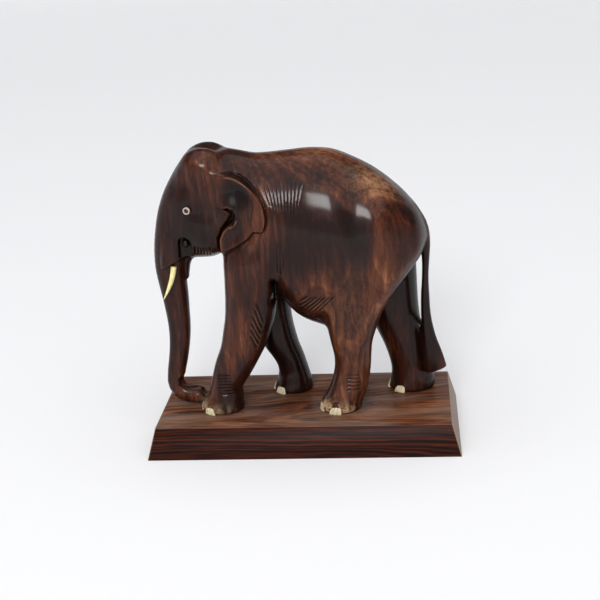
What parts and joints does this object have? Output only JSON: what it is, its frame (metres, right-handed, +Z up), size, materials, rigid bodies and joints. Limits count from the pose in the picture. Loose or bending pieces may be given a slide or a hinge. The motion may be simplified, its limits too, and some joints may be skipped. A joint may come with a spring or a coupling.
{
  "type": "carved elephant figurine",
  "caption": "Walking elephant carved from dark figured wood, with inlaid tusks, eyes and toenails, screwed to a bevelled wooden plinth.",
  "frame": {"origin": "middle of the plinth's underside", "axes": "+Z up, the animal faces -X, its left side is on the -Y side and its tail towards +X"},
  "size_m": [0.2, 0.098, 0.1914],
  "materials": {
    "carving_rosewood": "oiled and polished",
    "plinth_rosewood": "satin",
    "tusk_bone": "polished",
    "eye_bone": "satin",
    "eye_dark": "polished",
    "nail_bone": "satin",
    "screw_brass": "plain"
  },
  "bodies": {
    "root": {"plinth": "plinth_rosewood", "carved_elephant": "carving_rosewood", "tusk_left": "tusk_bone", "tusk_right": "tusk_bone", "eye_ring_left": "eye_bone", "eye_ring_right": "eye_bone", "eye_pupil_left": "eye_dark", "eye_pupil_right": "eye_dark", "nail_front_left_outer": "nail_bone", "nail_front_left_centre": "nail_bone", "nail_front_left_inner": "nail_bone", "nail_front_right_outer": "nail_bone", "nail_front_right_centre": "nail_bone", "nail_front_right_inner": "nail_bone", "nail_hind_left_outer": "nail_bone", "nail_hind_left_centre": "nail_bone", "nail_hind_left_inner": "nail_bone", "nail_hind_right_outer": "nail_bone", "nail_hind_right_centre": "nail_bone", "nail_hind_right_inner": "nail_bone", "screw_front_left": "screw_brass", "screw_front_right": "screw_brass", "screw_hind_left": "screw_brass", "screw_hind_right": "screw_brass"}
  },
  "joints": []
}
